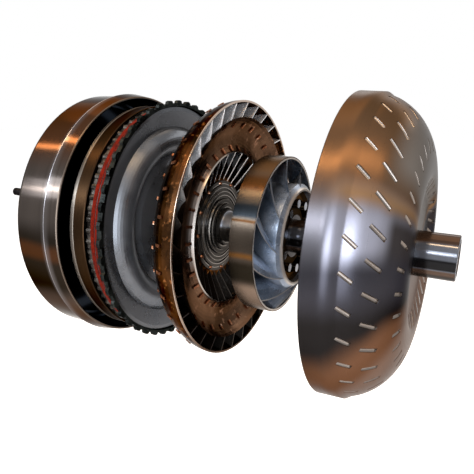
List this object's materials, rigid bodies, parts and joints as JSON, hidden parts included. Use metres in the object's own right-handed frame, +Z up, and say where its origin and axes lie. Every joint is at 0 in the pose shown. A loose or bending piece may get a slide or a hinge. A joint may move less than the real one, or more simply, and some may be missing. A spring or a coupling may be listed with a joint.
{
  "type": "torque converter",
  "caption": "Torque converter pulled apart along its axis: cover, lock-up clutch, turbine, stator on a freewheel and impeller with hub, which slide together and turn.",
  "frame": {"origin": "on the axis, in the plane of the cover's rear mounting face, where the crankshaft pilot stands on it", "axes": "+X along the axis from the engine side to the pump hub, +Z up, +Y away from the viewer"},
  "size_m": [0.436, 0.3, 0.3],
  "materials": {
    "cover_steel": "turned, warm brown tint",
    "pilot_steel": "machined",
    "black_stud": "black oxide",
    "bronze_bush": "machined bearing bronze",
    "piston_steel": "dark brown, satin",
    "plate_steel": "stamped, mottled",
    "disc_steel": "stamped",
    "friction_red": "red friction lining",
    "dark_plate": "dark phosphate",
    "grey_phosphate": "matte grey phosphate",
    "spring_steel": "bright",
    "shaft_steel": "ground",
    "brazed_bronze": "copper brazed, mottled bronze",
    "blade_steel": "bright sheet",
    "hub_dark": "dark machined steel",
    "cast_aluminium": "die cast, blue grey",
    "race_bronze": "hardened, straw brown",
    "shell_steel": "satin, turned"
  },
  "bodies": {
    "cover": {"front_cover": "cover_steel", "crank_pilot": "pilot_steel", "drive_studs": "black_stud", "pilot_bush": "bronze_bush"},
    "piston_carrier": {"piston_hub": "pilot_steel"},
    "piston": {"piston_drum": "piston_steel"},
    "clutch_plates": {"steel_plate": "plate_steel", "drive_plate": "dark_plate"},
    "clutch_disc": {"friction_disc": "disc_steel", "friction_facings": "friction_red", "pressure_plate": "grey_phosphate", "damper_springs": "spring_steel"},
    "shaft": {"turbine_shaft": "shaft_steel"},
    "turbine": {"turbine_shell": "brazed_bronze", "turbine_blades": "blade_steel", "turbine_core": "brazed_bronze", "blade_tabs": "blade_steel", "turbine_hub": "hub_dark", "hub_rivets": "blade_steel"},
    "stator_carrier": {"stator_sleeve": "shaft_steel", "inner_race": "spring_steel", "race_retainer": "spring_steel"},
    "stator": {"stator_wheel": "cast_aluminium", "outer_race": "race_bronze", "overrun_rollers": "spring_steel"},
    "impeller": {"impeller_shell": "shell_steel", "impeller_blades": "blade_steel", "impeller_core": "brazed_bronze", "impeller_hub": "shaft_steel", "hub_bush": "bronze_bush", "rear_bearing": "spring_steel"}
  },
  "joints": [
    {"name": "shaft_spin", "type": "hinge", "parent": "cover", "child": "shaft", "pos_m": [0, 0, 0], "axis": [1, 0, 0], "continuous": true},
    {"name": "impeller_slide", "type": "slide", "parent": "cover", "child": "impeller", "axis": [1, 0, 0], "range_m": [-0.266, 0]},
    {"name": "piston_slide", "type": "slide", "parent": "cover", "child": "piston_carrier", "axis": [1, 0, 0], "range_m": [-0.0597, 0]},
    {"name": "piston_apply", "type": "slide", "parent": "piston_carrier", "child": "piston", "axis": [1, 0, 0], "range_m": [0, 0.0012]},
    {"name": "clutch_plates_slide", "type": "slide", "parent": "cover", "child": "clutch_plates", "axis": [1, 0, 0], "range_m": [-0.0758, 0]},
    {"name": "clutch_disc_slide", "type": "slide", "parent": "shaft", "child": "clutch_disc", "axis": [1, 0, 0], "range_m": [-0.0758, 0]},
    {"name": "turbine_slide", "type": "slide", "parent": "shaft", "child": "turbine", "axis": [1, 0, 0], "range_m": [-0.1158, 0]},
    {"name": "stator_slide", "type": "slide", "parent": "cover", "child": "stator_carrier", "axis": [1, 0, 0], "range_m": [-0.1568, 0]},
    {"name": "stator_freewheel", "type": "hinge", "parent": "stator_carrier", "child": "stator", "pos_m": [0.235, 0, 0], "axis": [1, 0, 0], "continuous": true}
  ],
  "couplings": [
    {"joint": "piston_slide", "follows": "impeller_slide", "ratio": 0.22443},
    {"joint": "clutch_plates_slide", "follows": "impeller_slide", "ratio": 0.28496},
    {"joint": "clutch_disc_slide", "follows": "impeller_slide", "ratio": 0.28496},
    {"joint": "turbine_slide", "follows": "impeller_slide", "ratio": 0.43533},
    {"joint": "stator_slide", "follows": "impeller_slide", "ratio": 0.58947}
  ]
}
